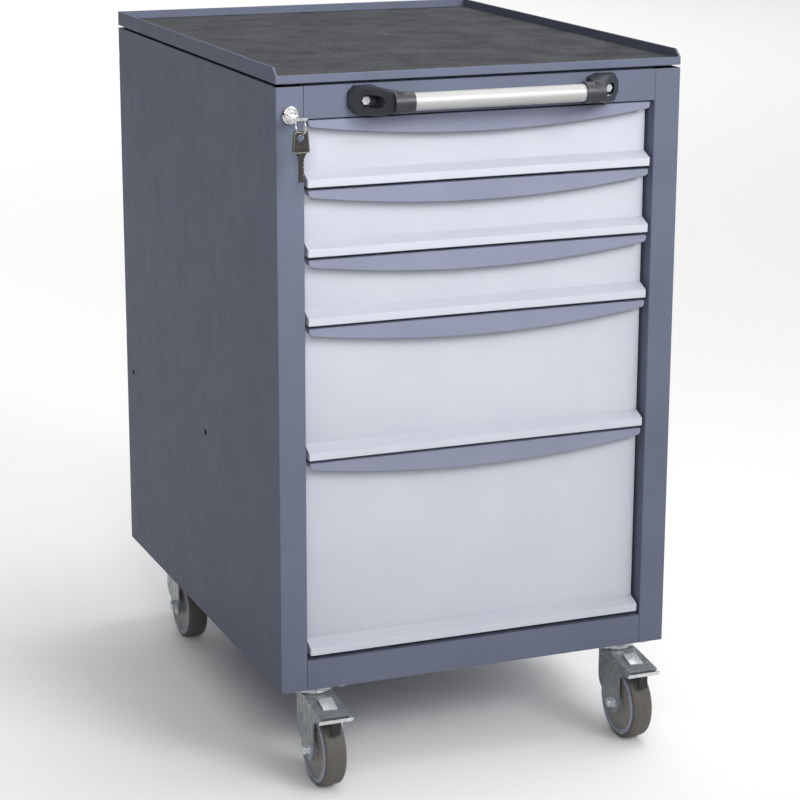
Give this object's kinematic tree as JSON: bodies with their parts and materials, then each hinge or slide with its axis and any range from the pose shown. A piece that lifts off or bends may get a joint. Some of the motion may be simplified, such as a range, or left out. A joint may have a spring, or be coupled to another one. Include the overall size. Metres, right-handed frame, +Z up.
{
  "type": "mobile tool workbench with drawers",
  "caption": "Mobile sheet-steel workbench: a tall cabinet of drawers on swivel castors, with a rubber-matted tray top, a push handle and a key lock",
  "frame": {"origin": "on the floor, under the middle of the whole bench's outline", "axes": "+Z up, +X to the right as seen from the front, -Y toward the front, where the drawers open"},
  "size_m": [0.55, 0.7582, 0.9312],
  "materials": {
    "cabinet_paint": "powder-coated sheet steel, fine orange peel, slate blue-grey",
    "tray_paint": "powder-coated sheet steel, slate blue-grey",
    "pull_paint": "powder-coated sheet steel, slate blue-grey",
    "drawer_paint": "powder-coated sheet steel, light grey",
    "bare_steel": "galvanised sheet steel",
    "slide_steel": "bright zinc-plated rolled steel",
    "mat_rubber": "black ribbed rubber mat, matt",
    "bracket_plastic": "charcoal glass-filled nylon, fine spark texture",
    "tube_metal": "satin anodised aluminium tube",
    "bolt_steel": "zinc-plated steel",
    "lock_chrome": "polished nickel-chrome",
    "key_metal": "dark nickel-plated steel",
    "castor_zinc": "zinc-plated pressed steel, blue passivated",
    "pedal_steel": "zinc-plated pressed steel",
    "wheel_plastic": "moulded grey polypropylene",
    "tyre_rubber": "grey-brown solid rubber tyre"
  },
  "bodies": {
    "cabinet": {"left_side": "cabinet_paint", "right_side": "cabinet_paint", "back_panel": "cabinet_paint", "bottom_panel": "cabinet_paint", "top_rail": "cabinet_paint", "bottom_rail": "cabinet_paint", "rear_posts": "bare_steel", "tray_top": "tray_paint", "rubber_mat": "mat_rubber", "handle_bracket_left": "bracket_plastic", "handle_bracket_right": "bracket_plastic", "handle_tube": "tube_metal", "handle_bolts": "bolt_steel", "lock_housing": "lock_chrome", "cabinet_slides": "slide_steel", "castor_plates": "castor_zinc", "castor_bolts": "bolt_steel"},
    "drawer_5": {"drawer_5_front": "drawer_paint", "drawer_5_pull": "pull_paint", "drawer_5_box": "drawer_paint", "drawer_5_slides": "slide_steel"},
    "drawer_4": {"drawer_4_front": "drawer_paint", "drawer_4_pull": "pull_paint", "drawer_4_box": "drawer_paint", "drawer_4_slides": "slide_steel"},
    "drawer_3": {"drawer_3_front": "drawer_paint", "drawer_3_pull": "pull_paint", "drawer_3_box": "drawer_paint", "drawer_3_slides": "slide_steel"},
    "drawer_2": {"drawer_2_front": "drawer_paint", "drawer_2_pull": "pull_paint", "drawer_2_box": "drawer_paint", "drawer_2_slides": "slide_steel"},
    "drawer_1": {"drawer_1_front": "drawer_paint", "drawer_1_pull": "pull_paint", "drawer_1_box": "drawer_paint", "drawer_1_slides": "slide_steel"},
    "lock_cylinder": {"lock_plug": "lock_chrome", "key_in_lock": "key_metal"},
    "ring_on_key": {"key_ring": "lock_chrome"},
    "hanging_key": {"spare_key": "key_metal"},
    "lock_bar": {"lock_bar": "bare_steel"},
    "front_left_castor": {"front_left_fork": "castor_zinc", "front_left_axle": "bolt_steel"},
    "front_left_wheel": {"front_left_wheel": "wheel_plastic", "front_left_tyre": "tyre_rubber"},
    "front_left_brake": {"front_left_brake_pedal": "pedal_steel"},
    "front_right_castor": {"front_right_fork": "castor_zinc", "front_right_axle": "bolt_steel"},
    "front_right_wheel": {"front_right_wheel": "wheel_plastic", "front_right_tyre": "tyre_rubber"},
    "front_right_brake": {"front_right_brake_pedal": "pedal_steel"},
    "rear_left_castor": {"rear_left_fork": "castor_zinc", "rear_left_axle": "bolt_steel"},
    "rear_left_wheel": {"rear_left_wheel": "wheel_plastic", "rear_left_tyre": "tyre_rubber"},
    "rear_right_castor": {"rear_right_fork": "castor_zinc", "rear_right_axle": "bolt_steel"},
    "rear_right_wheel": {"rear_right_wheel": "wheel_plastic", "rear_right_tyre": "tyre_rubber"}
  },
  "joints": [
    {"name": "drawer_5_slide", "type": "slide", "parent": "cabinet", "child": "drawer_5", "axis": [0, -1, 0], "range_m": [0, 0.45]},
    {"name": "drawer_4_slide", "type": "slide", "parent": "cabinet", "child": "drawer_4", "axis": [0, -1, 0], "range_m": [0, 0.45]},
    {"name": "drawer_3_slide", "type": "slide", "parent": "cabinet", "child": "drawer_3", "axis": [0, -1, 0], "range_m": [0, 0.45]},
    {"name": "drawer_2_slide", "type": "slide", "parent": "cabinet", "child": "drawer_2", "axis": [0, -1, 0], "range_m": [0, 0.45]},
    {"name": "drawer_1_slide", "type": "slide", "parent": "cabinet", "child": "drawer_1", "axis": [0, -1, 0], "range_m": [0, 0.45]},
    {"name": "key_turn", "type": "hinge", "parent": "cabinet", "child": "lock_cylinder", "pos_m": [-0.257, -0.3209, 0.874], "axis": [0, 1, 0], "range_deg": [0, 90.5]},
    {"name": "ring_swing", "type": "hinge", "parent": "lock_cylinder", "child": "ring_on_key", "pos_m": [-0.257, -0.3602, 0.874], "axis": [0.9703, 0.2419, 0], "range_deg": [-12, 5]},
    {"name": "spare_key_swing", "type": "hinge", "parent": "ring_on_key", "child": "hanging_key", "pos_m": [-0.257, -0.3602, 0.8555], "axis": [0, 1, 0], "range_deg": [-25, 25]},
    {"name": "lock_bar_lift", "type": "slide", "parent": "cabinet", "child": "lock_bar", "axis": [0, 0, 1], "range_m": [0, 0.008]},
    {"name": "front_left_swivel", "type": "hinge", "parent": "cabinet", "child": "front_left_castor", "pos_m": [-0.22, -0.2869, 0.1167], "axis": [0, 0, 1], "continuous": true},
    {"name": "front_left_roll", "type": "hinge", "parent": "front_left_castor", "child": "front_left_wheel", "pos_m": [-0.22, -0.3269, 0.05], "axis": [1, 0, 0], "continuous": true},
    {"name": "front_left_brake_press", "type": "hinge", "parent": "front_left_castor", "child": "front_left_brake", "pos_m": [-0.22, -0.3089, 0.1071], "axis": [1, 0, 0], "range_deg": [0, 4]},
    {"name": "front_right_swivel", "type": "hinge", "parent": "cabinet", "child": "front_right_castor", "pos_m": [0.22, -0.2869, 0.1167], "axis": [0, 0, 1], "continuous": true},
    {"name": "front_right_roll", "type": "hinge", "parent": "front_right_castor", "child": "front_right_wheel", "pos_m": [0.22, -0.3269, 0.05], "axis": [1, 0, 0], "continuous": true},
    {"name": "front_right_brake_press", "type": "hinge", "parent": "front_right_castor", "child": "front_right_brake", "pos_m": [0.22, -0.3089, 0.1071], "axis": [1, 0, 0], "range_deg": [0, 4]},
    {"name": "rear_left_swivel", "type": "hinge", "parent": "cabinet", "child": "rear_left_castor", "pos_m": [-0.22, 0.3031, 0.1167], "axis": [0, 0, 1], "continuous": true},
    {"name": "rear_left_roll", "type": "hinge", "parent": "rear_left_castor", "child": "rear_left_wheel", "pos_m": [-0.22, 0.2631, 0.05], "axis": [1, 0, 0], "continuous": true},
    {"name": "rear_right_swivel", "type": "hinge", "parent": "cabinet", "child": "rear_right_castor", "pos_m": [0.22, 0.3031, 0.1167], "axis": [0, 0, 1], "continuous": true},
    {"name": "rear_right_roll", "type": "hinge", "parent": "rear_right_castor", "child": "rear_right_wheel", "pos_m": [0.22, 0.2631, 0.05], "axis": [1, 0, 0], "continuous": true}
  ],
  "couplings": [
    {"joint": "key_turn", "follows": "lock_bar_lift", "rad_per_m": 196.34}
  ]
}
